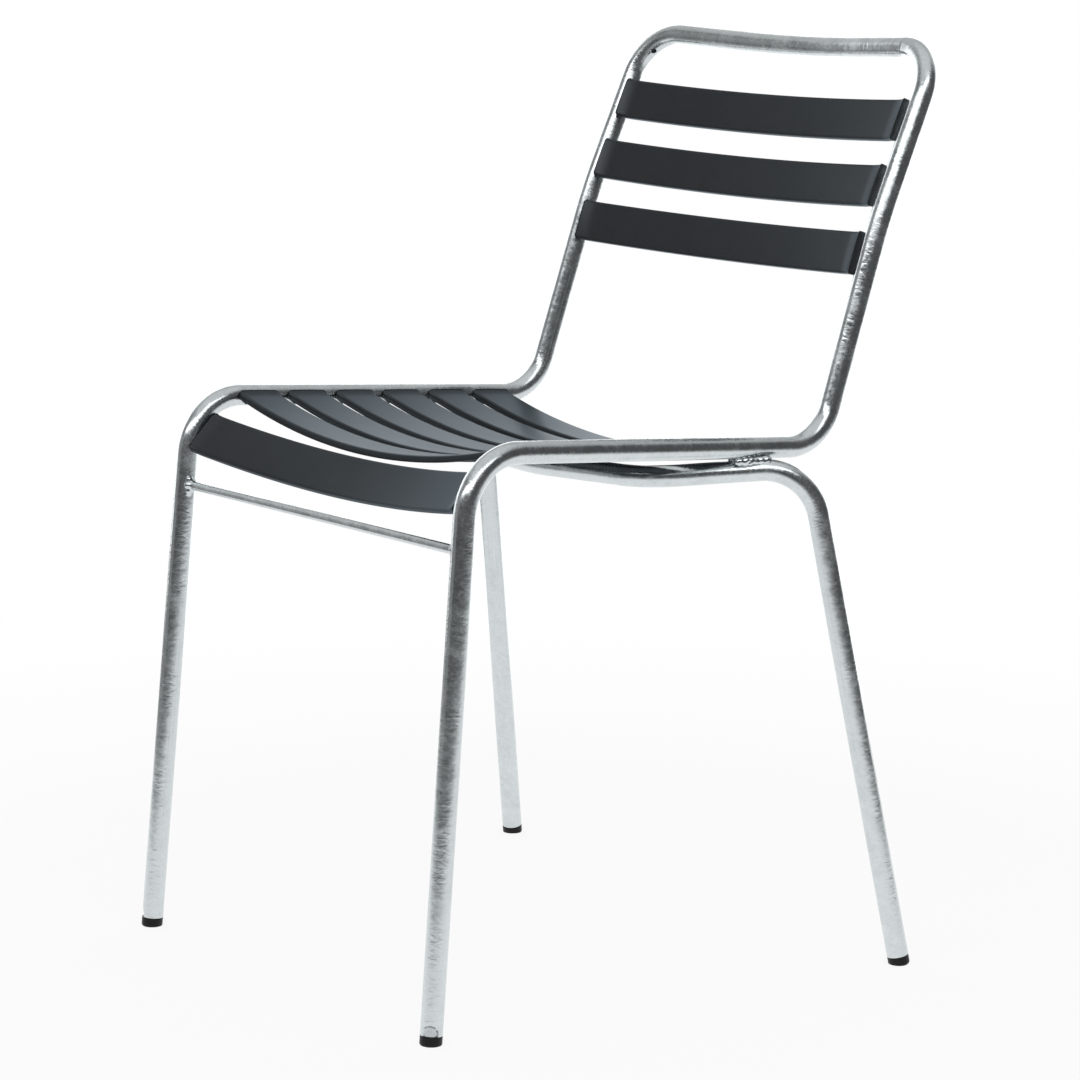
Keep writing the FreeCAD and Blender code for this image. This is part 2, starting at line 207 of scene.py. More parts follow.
def signed_volume(mesh):
    """Sum of the small pyramids from the origin to every triangle: positive when faces point out."""
    mesh.calc_loop_triangles()
    corner = np.empty(len(mesh.vertices) * 3)
    mesh.vertices.foreach_get("co", corner)
    corner = corner.reshape(-1, 3)
    triangle = np.empty(len(mesh.loop_triangles) * 3, np.int32)
    mesh.loop_triangles.foreach_get("vertices", triangle)
    a, b, c = corner[triangle.reshape(-1, 3).T]
    return float(np.einsum("ij,ij->i", a, np.cross(b, c)).sum() / 6.0)


def untwisted(line, lean_on):
    """Travel direction and two cross directions that do not twist along the line.

    The cross directions first lean on one fixed direction. Each station's small turn against the
    last one is measured, and the running sum of the turns is taken out again."""
    travel = unit(np.gradient(line, axis=0))
    side = unit(np.cross(travel, lean_on))
    up = np.cross(side, travel)
    small = np.arctan2((side[:-1] * up[1:]).sum(1), (side[:-1] * side[1:]).sum(1))
    turn = np.concatenate(([0.0], np.cumsum(small)))[:, None]
    return travel, side * np.cos(turn) + up * np.sin(turn), up * np.cos(turn) - side * np.sin(turn)


def carried_round(line, lean_on, radius, columns):
    """Grid of a round section carried along a line, and the same grid laid straight.

    A point is line + radius * (cos a * side + sin a * up). Radius may be one number or a grid."""
    _, side, up = untwisted(line, lean_on)
    a = np.linspace(0.0, 2.0 * math.pi, columns, endpoint=False)
    reach = np.broadcast_to(radius, (len(line), columns))[..., None]
    grid = line[:, None] + reach * (np.cos(a)[None, :, None] * side[:, None]
                                    + np.sin(a)[None, :, None] * up[:, None])
    length = length_along(line)
    straight = np.stack(np.broadcast_arrays(length[:, None], TUBE * np.cos(a), TUBE * np.sin(a)), -1)
    return grid, straight.copy()


# %% [markdown]
# ## Finishes as sums
#
# A finish is a tree of nodes, and most of it is arithmetic. A signal wraps one socket, so that a
# sum such as `1 - mask * 0.3` adds its own Math nodes. Every other node comes from one method.

# %% Signals and finishes
class Signal:
    """One output socket that can be added, multiplied and compared like a number."""

    def __init__(self, finish, socket):
        self.finish, self.socket = finish, socket

    def math(self, operation, *values):
        return self.finish.node("Math", {"operation": operation}, dict(enumerate(values)))

    def __add__(self, other):
        return self.math("ADD", self, other)

    def __sub__(self, other):
        return self.math("SUBTRACT", self, other)

    def __rsub__(self, other):
        return self.math("SUBTRACT", other, self)

    def __mul__(self, other):
        return self.math("MULTIPLY", self, other)

    def __truediv__(self, other):
        return self.math("DIVIDE", self, other)

    def __pow__(self, other):
        return self.math("POWER", self, other)

    __radd__ = __add__
    __rmul__ = __mul__

    def least(self, other):
        """The smaller of two signals."""
        return self.math("MINIMUM", self, other)

    def most(self, other):
        """The larger of two signals."""
        return self.math("MAXIMUM", self, other)

    def rise(self, low, high):
        """Zero below low, one above high, and an S-shaped rise between them."""
        return self.finish.node("MapRange", {"interpolation_type": "SMOOTHSTEP"},
                                {"Value": self, "From Min": low, "From Max": high})


class Finish:
    """A material, or the world, under construction."""

    def __init__(self, owner):
        self.owner = owner
        owner.use_nodes = True
        self.tree = owner.node_tree
        self.tree.nodes.clear()

    def node(self, kind, settings=None, inputs=None, output=0):
        """Adds a node, sets its settings, then its sockets, and returns one of its outputs."""
        made = self.tree.nodes.new("ShaderNode" + kind)
        for key, value in (settings or {}).items():
            setattr(made, key, value)
        for key, value in (inputs or {}).items():
            if isinstance(value, Signal):
                self.tree.links.new(value.socket, made.inputs[key])
            else:
                made.inputs[key].default_value = value
        return Signal(self, made.outputs[output])

    def blend(self, first, second, share):
        """One colour passing into another."""
        return self.node("Mix", {"data_type": "RGBA"}, {0: share, 6: first, 7: second}, 2)

    def stretched(self, vector, scale):
        """A vector whose axes are scaled one by one."""
        return self.node("VectorMath", {"operation": "MULTIPLY"}, {0: vector, 1: scale})

    def distance(self, vector, point):
        """Distance from a fixed point."""
        settings, inputs = {"operation": "DISTANCE"}, {0: vector, 1: tuple(point)}
        return self.node("VectorMath", settings, inputs, "Value")

    def along(self, vector, direction):
        """How far the vector reaches along a fixed direction."""
        settings, inputs = {"operation": "DOT_PRODUCT"}, {0: vector, 1: tuple(direction)}
        return self.node("VectorMath", settings, inputs, "Value")

    def noise(self, vector, scale, detail=3.0, roughness=0.55, distortion=0.0):
        """Soft random values from zero to one, around one half."""
        return self.node("TexNoise", None, {"Vector": vector, "Scale": scale, "Detail": detail,
                                            "Roughness": roughness, "Distortion": distortion})

    def end(self, kind, shader):
        """Joins the shader to the output."""
        out = self.tree.nodes.new("ShaderNode" + kind)
        self.tree.links.new(shader.socket, out.inputs["Surface"])
        return self.owner


def colour(red, green, blue):
    """A colour as the shader takes it."""
    return (red, green, blue, 1.0)


# %% [markdown]
# ## The zinc coat
#
# The whole frame is dipped in molten zinc after welding. The coat freezes into faint crystals, and
# it stays cloudy: bright where it is fresh, dull and whitish where it has started to weather. It is
# also never flat. Small lumps and ripples run across the tube, and break its reflections into
# short dashes. So the finish has three scales: clouds some centimetres wide, crystals of two or
# three millimetres, and a fine grain. The lumps go into the bump, along the straightened tube.
#
# Two places are marked on the frame and get painted shade. Both top corners have a round vent hole,
# whose inside is painted black as the shade in the hole. Both front feet have a half-moon recess,
# whose floor is painted a little darker than the tube as shade, with a broken dark line of painted
# shadow round it.

# %% Zinc finish
VENT_TURN = math.radians(16.0)
RECESS_RISE = 2.9
corner_cross = unit(top_middle - top_corner)
corner_half = 0.5 * math.acos(np.clip(-lean @ corner_cross, -1.0, 1.0))
inward = unit(corner_cross - lean)
vent_inward = inward * math.cos(VENT_TURN) - back_face * math.sin(VENT_TURN)
bend_inside = top_corner + inward * (TOP_BEND / math.sin(corner_half) - TOP_BEND)
vent_place = bend_inside + vent_inward * TUBE


leg_axis = unit(front_corner - front_foot)
recess_place = front_foot + leg_axis * (PLUG_HEIGHT + RECESS_RISE) + unit(at(1, -1, 0)) * TUBE


def zinc(name, shine=0.0, lumps=1.0):
    """Galvanised steel: mottled colour, cloudy shine, rippled skin, painted shade in vents and recesses.

    Shine lowers the roughness, and lumps scales the height of the bump."""
    f = Finish(bpy.data.materials.new(name))
    place = f.node("TexCoord", None, None, "Object")
    laid = f.node("Attribute", {"attribute_name": "laid_straight"}, None, "Vector")
    clouds = f.noise(place, 38.0, 4.0, 0.6)
    patches = f.noise(place, 150.0, 3.0, 0.6, 0.6)
    drift = f.node("TexNoise", None, {"Vector": place, "Scale": 420.0}, "Color")
    drift = f.stretched(drift, (0.0016, 0.0016, 0.0016))
    warped = f.node("VectorMath", {"operation": "ADD"}, {0: place, 1: drift})
    crystal = f.node("TexVoronoi", {"feature": "SMOOTH_F1"},
                     {"Vector": warped, "Scale": 430.0, "Smoothness": 0.35}, "Color")
    crystal = f.node("SeparateColor", None, {"Color": crystal})
    grain = f.noise(place, 1700.0, 2.0, 0.6)
    tone = ((clouds - 0.5) * 0.6 + (patches - 0.5) * 0.4
            + (crystal - 0.5) * 0.14 + (grain - 0.5) * 0.12)
    tone = (tone + 0.5).rise(0.12, 0.88)
    base = f.blend(colour(0.52, 0.555, 0.565), colour(0.71, 0.755, 0.77), tone)
    dull = clouds.rise(0.42, 0.7)
    rough = 0.21 - shine + dull * 0.1 + (crystal - 0.5) * 0.07 + (patches - 0.5) * 0.14
    ripple = f.noise(f.stretched(laid, (1.0, 0.4, 0.4)), 300.0, 1.0, 0.5, 0.6)
    worms = f.noise(laid, 22.0, 1.0).rise(0.4, 0.66)
    swell = f.noise(place, 75.0, 2.0)
    height = ripple * (worms * 0.4 + 0.1) + swell * 0.85 + crystal * 0.03 + grain * 0.025
    bump = f.node("Bump", None, {"Strength": 1.0, "Distance": 0.00036 * lumps, "Height": height})

    def near_either(point):
        """Distance in metres to a point or to its mirror image, whichever is nearer."""
        one, other = (f.distance(place, to_metres(p)) for p in (point, other_side(point)))
        return one.least(other)

    # Painted shade: inside each vent hole the colour is painted near black and the surface made dull,
    # standing for the dark inside of the hole.
    skin = near_either(vent_place).rise(0.0024, 0.0029)
    to_recess = near_either(recess_place)
    # Painted shadow: a broken dark ring along the recess edge, where the edge casts its shadow.
    rim = (to_recess - 0.0066).math("ABSOLUTE", to_recess - 0.0066)
    rim = (1 - rim.rise(0.0002, 0.0014)) * ripple.rise(0.42, 0.62) * 0.8
    # Painted shade: the recess floor is painted darker than the tube.
    inside = (1 - to_recess.rise(0.005, 0.0068)) * 0.4
    base = f.blend(f.blend(base, colour(0.3, 0.32, 0.33), inside), colour(0.1, 0.11, 0.11), rim)
    # The painted black of the vent holes goes in here.
    base = f.blend(colour(0.006, 0.006, 0.007), base, skin)
    shader = f.node("BsdfPrincipled", None, {
        "Base Color": base, "Metallic": skin, "Roughness": rough + (1 - skin) * 0.5, "Normal": bump})
    return f.end("OutputMaterial", shader)


zinc_coat = zinc("zinc_coat")
weld_zinc = zinc("weld_zinc", 0.09, 0.3)
rod_zinc = zinc("rod_zinc", 0.0, 0.4)

# %% [markdown]
# ## The two bent tubes
#
# One tube runs from the left front foot, along the rail, up the upright and over the top, and down
# the same way on the right. The other makes both rear legs and the tube under the seat. Each is a
# circle carried along its path. The radius swells and sinks by a few hundredths of a millimetre, as
# a dipped tube does. The rows lie closer at the feet and at the vents, where the skin is pressed in
# for the two half-moon recesses and the two vent holes.

# %% Tubes
def finer(line, places, reach, step):
    """The line with extra rows within a reach of some places along its length."""
    length = length_along(line)
    extra = [np.arange(max(0.0, p - reach), min(length[-1], p + reach), step) for p in places]
    marks = np.unique(np.round(np.concatenate([length] + extra), 3))
    marks = marks[np.concatenate(([True], np.diff(marks) > 0.3 * step))]
    return np.stack([np.interp(marks, length, line[:, k]) for k in range(3)], 1)


def tube_radius_grid(line, columns, seed):
    """Radius of the skin: slow waves of 0.05 mm around and along the tube."""
    phase = np.random.default_rng(seed).uniform(0.0, 2.0 * math.pi, 6)
    s = length_along(line)[:, None]
    a = np.linspace(0.0, 2.0 * math.pi, columns, endpoint=False)[None, :]
    wave = (np.sin(s / 9.1 + 2 * a + phase[0]) + np.sin(s / 5.3 - 3 * a + phase[1])
            + np.sin(s / 14.7 + a + phase[2]))
    return TUBE - 0.05 + 0.016 * wave


def pressed_in(grid, line, centre, radius, depth, wall):
    """The grid with a round hollow: points nearer the centre than the radius sink inwards."""
    inside = np.clip((radius - np.linalg.norm(grid - centre, axis=-1)) / wall, 0.0, 1.0)
    away = unit(grid - line[:, None])
    return grid - away * (depth * inside)[..., None]


TUBE_COLUMNS = 60
total = length_along(frame_line)[-1]
nearest = np.linalg.norm(frame_line - vent_place, axis=1).argmin()
vent_row = length_along(frame_line)[nearest]
frame_line = finer(frame_line, [0.0, total, vent_row, total - vent_row], 12.0, 0.7)
frame_grid, frame_straight = carried_round(frame_line, unit(at(1, 0, 0) + back_face),
                                           tube_radius_grid(frame_line, TUBE_COLUMNS, 3), TUBE_COLUMNS)
for place in (recess_place, other_side(recess_place)):
    frame_grid = pressed_in(frame_grid, frame_line, place, 7.0, 1.3, 2.2)
for place in (vent_place, other_side(vent_place)):
    frame_grid = pressed_in(frame_grid, frame_line, place, 2.6, 1.0, 0.5)
piece("main_frame", frame_grid, frame_straight, zinc_coat, "main_frame_tube")
rear_grid, rear_straight = carried_round(rear_line, unit(at(1, 0, 1)),
                                         tube_radius_grid(rear_line, TUBE_COLUMNS, 5), TUBE_COLUMNS)
piece("rear_legs", rear_grid, rear_straight, zinc_coat, "rear_leg_tube")

# %% [markdown]
# ## The cross rod and its welds
#
# A thin rod ties the front legs together below the front slat. Its welds are small lumps of metal
# that ran together, with a drop that hung down before it froze. The rear welds are longer beads in
# the crevices between rail and rear tube: short ripples along them, a swollen end and one blowhole.
# A lump is a ball of directions, each pushed out to the farthest skin of a few small balls.

# %% Rod
ROD_DROP = 78.8
rod_share = 1.0 - ROD_DROP / front_corner[2]
rod_end = front_foot + (front_corner - front_foot) * rod_share - at(TUBE - 0.2, 0, 0)
rod_line = rod_end + (other_side(rod_end) - rod_end) * np.linspace(0.0, 1.0, 190)[:, None]
rod_grid, rod_straight = carried_round(rod_line, at(0, 0, 1), 4.0, 32)
piece("front_rod", rod_grid, rod_straight, rod_zinc, "front_cross_rod")


# %% Welds
def lump(centre, balls, rows=40, columns=48):
    """A star-shaped skin around a centre: the far side of the farthest ball in every direction.

    For a ball at c with radius r, a ray d leaves it at d.c + sqrt(r2 - c2 + (d.c)2)."""
    polar = np.linspace(0.02, math.pi - 0.02, rows)[:, None, None]
    turn = np.linspace(0.0, 2.0 * math.pi, columns, endpoint=False)[None, :, None]
    ray = (np.sin(polar) * np.cos(turn) * at(1, 0, 0) + np.sin(polar) * np.sin(turn) * at(0, 1, 0)
           - np.cos(polar) * at(0, 0, 1))
    reach = np.zeros(ray.shape[:2])
    for x, y, z, radius in balls:
        toward = ray @ at(x, y, z)
        rest = radius**2 - (x * x + y * y + z * z) + toward**2
        leave = np.where(rest > 0.0, toward + np.sqrt(np.maximum(rest, 0.0)), 0.0)
        # A soft maximum, so that the balls run together without a sharp crease.
        reach = 0.5 * (reach + leave + np.sqrt((reach - leave) ** 2 + 0.2))
    return centre + ray * reach[..., None], ray * reach[..., None]


def bead(start, end, radius, seed):
    """A round bead with rippled thickness, rounded ends and one end a little swollen."""
    share = 0.5 - 0.5 * np.cos(np.linspace(0.03, math.pi - 0.03, 70))
    line = start + (end - start) * share[:, None]
    s = share * np.linalg.norm(end - start)
    phase = np.random.default_rng(seed).uniform(0.0, 6.0, 2)
    rounding = np.sqrt(1.0 - np.clip(abs(2.0 * share - 1.0), 0.0, 1.0) ** 6)
    ripples = 0.035 * np.sin(s * 1.3 + phase[0]) + 0.045 * np.sin(s * 0.47 + phase[1])
    swell = 1.0 + 0.22 * np.exp(-((share - 0.9) / 0.08) ** 2) + ripples
    a = np.linspace(0.0, 2.0 * math.pi, 28, endpoint=False)[None, :]
    skin = radius * (rounding * swell)[:, None] * (1.0 + 0.04 * np.sin(3.0 * a + s[:, None] + phase[1]))
    return carried_round(line, at(0, 0, 1), skin, 28)


rod_place = front_foot + (front_corner - front_foot) * rod_share - at(TUBE, 0, 0)
balls = ((-0.8, -2.4, 5.2, 3.4), (-1.2, -4.0, 0.6, 3.6), (-0.4, 1.2, 2.4, 4.0), (-0.4, 1.4, -2.0, 4.0),
         (-0.8, -2.8, -4.4, 3.6), (-0.6, -3.2, -7.4, 2.8), (-2.2, 0.0, 0.0, 5.2))
grid, straight = lump(rod_place, balls)
small = rod_place + 0.7 * (grid - rod_place)
grids = np.stack([small, (grid * at(-1, 1, 1))[:, ::-1]])
piece("shown_rod_welds", grids, np.stack([straight, straight[:, ::-1]]), weld_zinc, "front_rod_welds",
      crease=80.0)

rail_to, run_to = unit(rail_run), unit(-run_plan)
between = unit(rail_to + run_to)
weld_middle = rail_point(weld_depth) - at(0, 0, drop / 2.0)
aside = unit(np.cross(between, at(0, 0, 1)))
beads = []
for sign, seed in ((1.0, 2), (-1.0, 7)):
    middle = weld_middle + aside * 6.6 * sign - at(0, 0, 0.6)
    grid, straight = bead(middle - between * 17.5, middle + between * 17.5, 4.1, seed)
    pit = middle - between * 6.0 + aside * 4.0 * sign - at(0, 0, 0.4)
    grid = pressed_in(grid, np.repeat(middle[None], len(grid), 0), pit, 1.6, 1.5, 0.6)
    beads += [(grid, straight), ((grid * at(-1, 1, 1))[:, ::-1], straight[:, ::-1])]
piece("shown_rear_welds", np.stack([b[0] for b in beads]), np.stack([b[1] for b in beads]), weld_zinc,
      "rear_frame_welds", crease=80.0)

# %% [markdown]
# ## The slats
#
# Each slat is a moulded strip that is curved along its length, with two lips that turn down along
# its long edges. Its ends bend up gently against the inner side of the tubes. The long line of a
# slat is given by its slope: highest at the ends, falling quickly through a soft bend, then slowly
# to level in the middle. The profile is carried along that line, and each line of the profile stops
# where it meets the tube, as a strip that is fitted to a tube does. A full-depth boss fills the
# channel near each end. The seat slats are a little wider than the back slats.

#
# The slats are anthracite with a satin gloss. Plain plastic mirrors the bright backdrop too
# strongly where the seat is seen at a flat angle. A metallic share with a dark blue edge tint brings
# that down to the colour the seat has in the photo. It is a choice for the look.

# %% Slat finish
def moulded(name, base, rough, shine, tint, metal):
    """Satin moulding: dark, with very fine streaks along the piece and a faint orange peel."""
    f = Finish(bpy.data.materials.new(name))
    place = f.node("TexCoord", None, None, "Object")
    laid = f.node("Attribute", {"attribute_name": "laid_straight"}, None, "Vector")
    streak = f.noise(f.stretched(laid, (0.05, 1.0, 1.0)), 900.0, 2.0, 0.6)
    cloud = f.noise(place, 26.0, 3.0)
    tone = ((streak - 0.5) * 0.35 + (cloud - 0.5) * 0.5 + 0.5).rise(0.1, 0.9)
    shade = f.blend(colour(*(0.9 * c for c in base)), colour(*(1.12 * c for c in base)), tone)
    roughness = rough + (cloud - 0.5) * 0.04 + (streak - 0.5) * 0.05
    peel = f.noise(place, 700.0, 2.0)
    height = peel * 0.5 + f.noise(place, 60.0, 1.0) * 0.8 + streak * 0.1
    bump = f.node("Bump", None, {"Strength": 1.0, "Distance": 0.00006, "Height": height})
    shader = f.node("BsdfPrincipled", None, {
        "Base Color": shade, "Roughness": roughness, "Normal": bump,
        "Specular IOR Level": shine, "Specular Tint": tint, "Metallic": metal})
    return f.end("OutputMaterial", shader)


slat_finish = moulded("slat_plastic", (0.053, 0.057, 0.0615), 0.31, 0.4,
                      colour(0.35, 0.43, 0.49), 0.6)

# %% Slat line and profile
SLAT_THICK, SLAT_LIP = 2.8, 6.4
END_REACH, END_SLOPE, END_RADIUS = 9.2, math.radians(28.0), 50.0
BOSS = 10.0


def slat_line(half_span, sag, end_height, columns=1200):
    """Place and slope of the slat's top line for lengths from its middle to its end.

    The slope is level in the middle and grows evenly to the belly's end slope, then quickly through
    the end bend. The line is the running sum of the slope, and it ends at the given height."""
    end = half_span - END_REACH
    fall = sag - END_RADIUS * (1.0 - math.cos(END_SLOPE))
    run = end - END_RADIUS * math.sin(END_SLOPE)
    belly = 2.0 * math.atan2(fall, run)
    radius = (end - END_RADIUS * (math.sin(END_SLOPE) - math.sin(belly))) / math.sin(belly)
    marks = np.cumsum([0.0, radius * belly, END_RADIUS * (END_SLOPE - belly)])
    length = np.linspace(0.0, marks[-1], columns)
    slope = np.interp(length, marks, [0.0, belly, END_SLOPE])
    middle = 0.5 * (slope[1:] + slope[:-1])
    step = length[1] - length[0]
    x = np.concatenate(([0.0], np.cumsum(np.cos(middle)))) * step
    z = np.concatenate(([0.0], np.cumsum(np.sin(middle)))) * step
    return length, x, z + (end_height - z[-1]), slope


def slat_profile(width):
    """Closed outline across the slat: crowned top, round shoulders, two lips and a channel."""
    half, lip = width / 2.0, 2.8
    corners = [(0, 0), (half, 0), (half, -SLAT_LIP), (half - lip, -SLAT_LIP), (half - lip, -SLAT_THICK),
               (lip - half, -SLAT_THICK), (lip - half, -SLAT_LIP), (-half, -SLAT_LIP), (-half, 0), (0, 0)]
    corners = [np.array([y, 0.0, z], float) for y, z in corners]
    outline = rounded(corners, [2.2, 1.2, 1.2, 0.9, 0.9, 1.2, 1.2, 2.2], 0.85)[:-1]
    crown = 0.35 * (1.0 - (outline[:, 0] / half) ** 2)
    outline[:, 2] -= np.where(outline[:, 2] > -0.6, 0.35 - crown, 0.0)
    outward = np.roll(outline, 1, 0) - np.roll(outline, -1, 0)
    outward = unit(np.stack([-outward[:, 2], outward[:, 1], outward[:, 0]], 1))
    return outline, outward


def slat(name, centre, width_direction, width, sag, end_height, rail):
    """One slat: the profile carried along the line, each of its own lines ending at the tube."""
    profile, profile_out = slat_profile(width)
    half_span = centre[0]
    length, x, z, slope = slat_line(half_span, sag, end_height)
    across = unit(at(0, width_direction[1], width_direction[2]))
    above = at(0, -across[2], across[1])
    base = at(0, centre[1], centre[2])

    def spread(s, depth, y):
        """Points of the slat for lengths s, depths below the top line and places across."""
        px, pz = np.interp(abs(s), length, x), np.interp(abs(s), length, z)
        angle = np.interp(abs(s), length, slope)
        px = np.sign(s) * (px - depth * np.sin(angle))
        pz = pz + depth * np.cos(angle)
        return base + px[..., None] * at(1, 0, 0) + y[..., None] * across + pz[..., None] * above

    # Where each line of the profile stops: at the tube, at the slat's end or at the round corner.
    columns = len(profile)
    tail = np.linspace(length[-1] - 34.0, length[-1], 240)[:, None] * np.ones(columns)
    tail_points = spread(tail, profile[:, 2] * np.ones_like(tail), profile[:, 0] * np.ones_like(tail))
    near = rail[np.linalg.norm(rail - base - at(half_span, 0, 0), axis=1) < 60.0]
    away = np.linalg.norm(tail_points[:, :, None] - near, axis=3).min(2)
    inside = away < TUBE + 0.12
    first = np.where(inside.any(0), inside.argmax(0), len(tail) - 1)
    stop = tail[first, 0]
    corner = 3.2
    edge = np.clip(abs(profile[:, 0]) - (width / 2.0 - corner), 0.0, corner)
    stop = np.minimum(stop, length[-1] - corner + np.sqrt(corner**2 - edge**2))

    # Rows: even along the belly, closer at the end, and three that round the end's edge.
    soft = 0.5
    roll = np.radians([0.0, 35.0, 65.0, 90.0])
    share = np.concatenate((np.linspace(0.0, 0.86, 40, endpoint=False), np.linspace(0.86, 1.0, 26)))
    common = length[-1] - 34.0
    half_rows = share[:, None] * (length[-1] - soft)
    tail_share = np.clip((half_rows - common) / (length[-1] - soft - common), 0.0, 1.0)
    half_rows = np.minimum(half_rows, common) + tail_share * (stop - soft - common)
    ends = stop - soft + soft * np.sin(roll)[1:, None]
    half_rows = np.concatenate((half_rows, ends))
    inset = np.concatenate((np.zeros(len(share)), soft * (1.0 - np.cos(roll[1:]))))[:, None]
    s = np.concatenate((-half_rows[:0:-1], half_rows))
    inset = np.concatenate((inset[:0:-1], inset))
    depth = profile[:, 2] - inset * profile_out[:, 2]
    y = profile[:, 0] - inset * profile_out[:, 0]
    # The channel's roof comes down to the depth of the lips where the boss is.
    channel = (abs(profile[:, 0]) < width / 2.0 - 2.7) & (profile[:, 2] < -SLAT_THICK + 0.1)
    boss_from = half_span - END_REACH - np.array([BOSS + 1.0, BOSS])
    boss = np.interp(np.interp(abs(s), length, x), boss_from, [0.0, 1.0])
    depth = np.where(channel, depth - (SLAT_LIP - SLAT_THICK) * boss, depth)
    grid = spread(s, depth, y)
    straight = np.stack([s, y, depth], -1)
    return piece(name, grid, straight, slat_finish, name.replace("shown_", ""))


# %% Seat and back slats
rail_way = unit(rear_corner - front_corner)
leg_way = unit(front_corner - front_foot)
half_turn = 0.5 * math.acos(-(leg_way @ rail_way))
bend_end = front_corner + rail_way * FRONT_BEND / math.tan(half_turn)
bend_centre = front_corner + unit(rail_way - leg_way) * FRONT_BEND / math.sin(half_turn)
rail_up = unit(bend_end - bend_centre)
SEAT_WIDTH, BACK_WIDTH = 40.6, 37.8
tilt, turned = math.radians(63.2), math.radians(63.2 - 13.6)
front_out = rail_up * math.cos(tilt) - rail_way * math.sin(tilt)
front_width = rail_way * math.cos(turned) + rail_up * math.sin(turned)
front_point = bend_centre + front_out * FRONT_BEND
slat("shown_seat_slat_front", front_point, front_width, SEAT_WIDTH, 22.7, -1.6, frame_line)
for index in range(6):
    centre = front_corner + rail_way * (64.3 + index * 52.1)
    slat(f"shown_seat_slat_{index + 1}", centre, rail_way, SEAT_WIDTH, 27.2, 5.2, frame_line)
upper = np.linalg.norm(top_corner - upright_kink)
for index, label in enumerate(("top", "middle", "bottom")):
    distance = 70.8 + index * 61.4
    if distance <= upper:
        way, centre = lean, top_corner - lean * distance
    else:
        way = unit(upright_kink - rear_corner)
        centre = upright_kink - way * (distance - upper)
    slat(f"shown_back_slat_{label}", centre, way, BACK_WIDTH, 16.1, 11.1, frame_line)

# %% [markdown]
# ## Foot plugs
#
# A black plug closes each tube end. Its rim is flush with the tube and its bottom edge is round.

# %% Plugs
plug_finish = moulded("foot_plastic", (0.004, 0.004, 0.0045), 0.45, 0.25,
                      colour(1.0, 1.0, 1.0), 0.0)


def plug(name, foot, corner):
    """An outline turned about the leg's axis; what would pass the floor is pressed flat on it."""
    axis = unit(corner - foot)
    rim, seat = TUBE - 0.1, 8.6
    corners = [at(0.8, 0, -1.2), at(rim, 0, -1.2), at(rim, 0, 7.8), at(seat, 0, 7.8), at(seat, 0, 7.95)]
    outline = rounded(corners, [2.5, 0.5, 0.05], 0.35)
    side = unit(np.cross(axis, at(0, 1, 0)))
    up = np.cross(axis, side)
    a = np.linspace(0.0, 2.0 * math.pi, 64, endpoint=False)[None, :, None]
    r, h = outline[:, None, :1], outline[:, None, 2:]
    grid = foot + r * (np.cos(a) * side + np.sin(a) * up) + h * axis
    grid[..., 2] = np.maximum(grid[..., 2], 0.0)
    straight = grid - foot
    piece(name, grid, straight, plug_finish, name.replace("shown_", ""))


legs = (("front", front_foot, front_corner), ("rear", rear_foot, rear_leg_corner))
for label, foot, corner in legs:
    plug(f"shown_foot_plug_{label}_left", foot, corner)
    plug(f"shown_foot_plug_{label}_right", other_side(foot), other_side(corner))

# %% Finishes of the solids that stay as they are
for name in ("seat_slat_pins", "back_slat_pins"):
    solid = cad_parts[name]
    solid.data.materials.clear()
    solid.data.materials.append(zinc_coat)

# %% [markdown]
# ## Floor, light and camera
#
# The camera sees white all around, and the floor keeps only a soft shadow. What the zinc reflects is
# a different room: bright paper near the chair, a bright backdrop behind it, a dim wall at the left
# and two soft lamps. The room is described by direction alone, as an azimuth and an elevation.

# %% Floor
def floor_finish():
    """Pale floor that a camera, and metal, see as white with the chair's shadow on it."""
    f = Finish(bpy.data.materials.new("floor"))
    place = f.node("TexCoord", None, None, "Object")
    camera = f.node("LightPath", None, None, "Is Camera Ray")
    glossy = f.node("LightPath", None, None, "Is Glossy Ray")

    behind = f.along(place, (-0.82, 0.57, 0.0))
    beside = f.along(place, (-0.57, -0.82, 0.0))
    paper = (1 - f.distance(place, (0.05, 0.2, 0.0)).rise(0.95, 1.7)) * 1.05 + 0.12
    paper = paper.most(behind.rise(0.2, 1.4) * (1 - beside.rise(0.5, 1.2)) * 2.1)
    fade = f.distance(place, (0.0, 0.0, 0.0)).rise(0.5, 1.5)
    share = camera * (fade * 0.12 + 0.88) + glossy * 0.75
    lit = f.node("BsdfDiffuse", None, {"Color": colour(0.9, 0.9, 0.9)})
    strength = paper * (1 - camera) + camera
    white = f.node("Emission", None, {"Color": colour(1, 1, 1), "Strength": strength})
    return f.end("OutputMaterial", f.node("MixShader", None, {0: share, 1: lit, 2: white}))


ring = np.linspace(0.0, 2.0 * math.pi, 96, endpoint=False)
floor_mesh = bpy.data.meshes.new("floor")
disc_points = 3.0 * np.stack([np.cos(ring), np.sin(ring), 0 * ring], 1)
floor_mesh.from_pydata(disc_points.tolist(), [], [list(range(len(ring)))])
floor_mesh.materials.append(floor_finish())
floor = bpy.data.objects.new("floor", floor_mesh)
bpy.context.scene.collection.objects.link(floor)

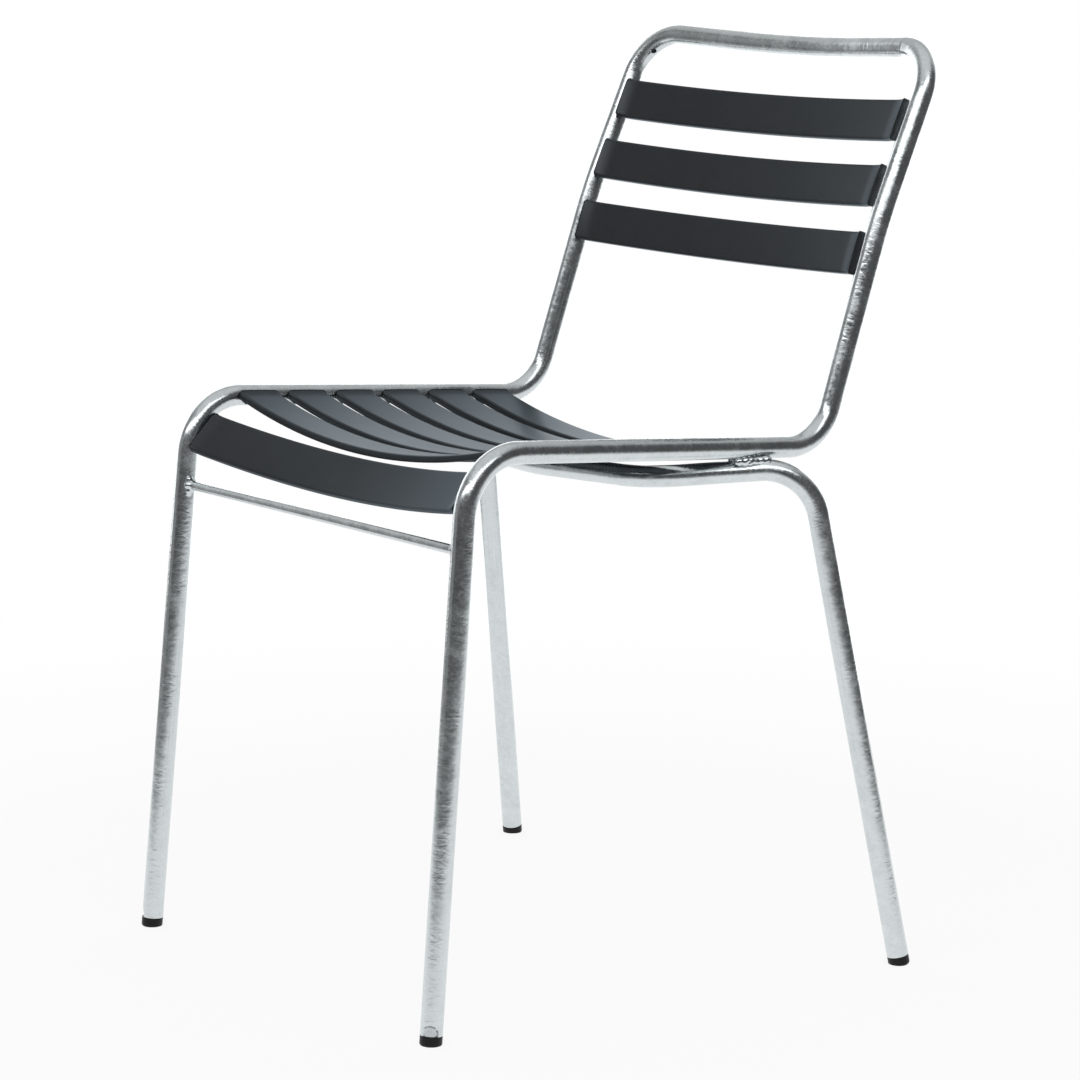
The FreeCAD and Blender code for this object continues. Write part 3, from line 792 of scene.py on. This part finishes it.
# %% Studio
def studio(world):
    """The room around the chair, by direction."""
    f = Finish(world)
    look = f.node("TexCoord", None, None, "Generated")
    height = f.node("SeparateXYZ", None, {0: look}, 2)

    def from_centre(azimuth, elevation):
        """Angles sideways and upwards from a direction, in degrees."""
        az, el = math.radians(azimuth), math.radians(elevation)
        ahead = (math.cos(az) * math.cos(el), math.sin(az) * math.cos(el), math.sin(el))
        left = (-math.sin(az), math.cos(az), 0.0)
        top = (-math.cos(az) * math.sin(el), -math.sin(az) * math.sin(el), math.cos(el))
        x, y, z = (f.along(look, v) for v in (ahead, left, top))
        return (y.math("ABSOLUTE", y.math("ARCTAN2", y, x)) * math.degrees(1.0),
                z.math("ABSOLUTE", z.math("ARCSINE", z)) * math.degrees(1.0))

    def panel(azimuth, elevation, half_width, half_height, edge):
        """A soft-edged rectangle around a direction, sized in degrees."""
        wide, tall = from_centre(azimuth, elevation)
        return ((1 - wide.rise(half_width - edge, half_width + edge))
                * (1 - tall.rise(half_height - edge, half_height + edge)))

    def disc(azimuth, elevation, half_width, half_height):
        """A soft-edged oval around a direction."""
        wide, tall = from_centre(azimuth, elevation)
        radius = (wide / half_width) ** 2 + (tall / half_height) ** 2
        return 1 - radius.rise(0.45, 1.5)

    room = height.rise(0.55, 0.92) * 0.68 + 0.1
    backdrop = panel(150.0, -6.0, 56.0, 32.0, 10.0) * 1.8
    above = panel(140.0, 34.0, 56.0, 30.0, 14.0) * 0.6
    left_wall = panel(220.0, 14.0, 36.0, 26.0, 12.0) * 0.3
    softbox = disc(296.0, 37.5, 42.0, 7.0) * 3.2
    second = disc(346.0, 45.0, 24.0, 9.0) * 2.6
    level = room.most(backdrop).most(above).most(left_wall).most(softbox).most(second)
    camera = f.node("LightPath", None, None, "Is Camera Ray")
    level = level * (1 - camera) + camera
    shader = f.node("Background", None, {"Color": colour(1, 1, 1), "Strength": level})
    return f.end("OutputWorld", shader)


world = bpy.data.worlds.new("studio")
bpy.context.scene.world = world
studio(world)

# %% Camera
def camera_at(place, azimuth, down, roll, lens):
    """A camera from its place and the three turns of its view, in degrees."""
    a, e, r = (math.radians(v) for v in (azimuth, down, roll))
    forward = at(-math.sin(a) * math.cos(e), math.cos(a) * math.cos(e), -math.sin(e))
    right = at(math.cos(a), math.sin(a), 0.0)
    up = np.cross(right, forward)
    right, up = math.cos(r) * right + math.sin(r) * up, math.cos(r) * up - math.sin(r) * right
    data = bpy.data.cameras.new("camera")
    data.lens, data.sensor_width = lens, 36.0
    made = bpy.data.objects.new("camera", data)
    turn = Matrix((Vector(right), Vector(up), Vector(-forward))).transposed()
    made.matrix_world = Matrix.Translation(Vector(place)) @ turn.to_4x4()
    bpy.context.scene.collection.objects.link(made)
    bpy.context.scene.camera = made


camera_at((2.44625, -1.93943, 0.92312), 51.74, 10.32, 0.5, 118.95)
bpy.context.scene.view_settings.view_transform = "Standard"
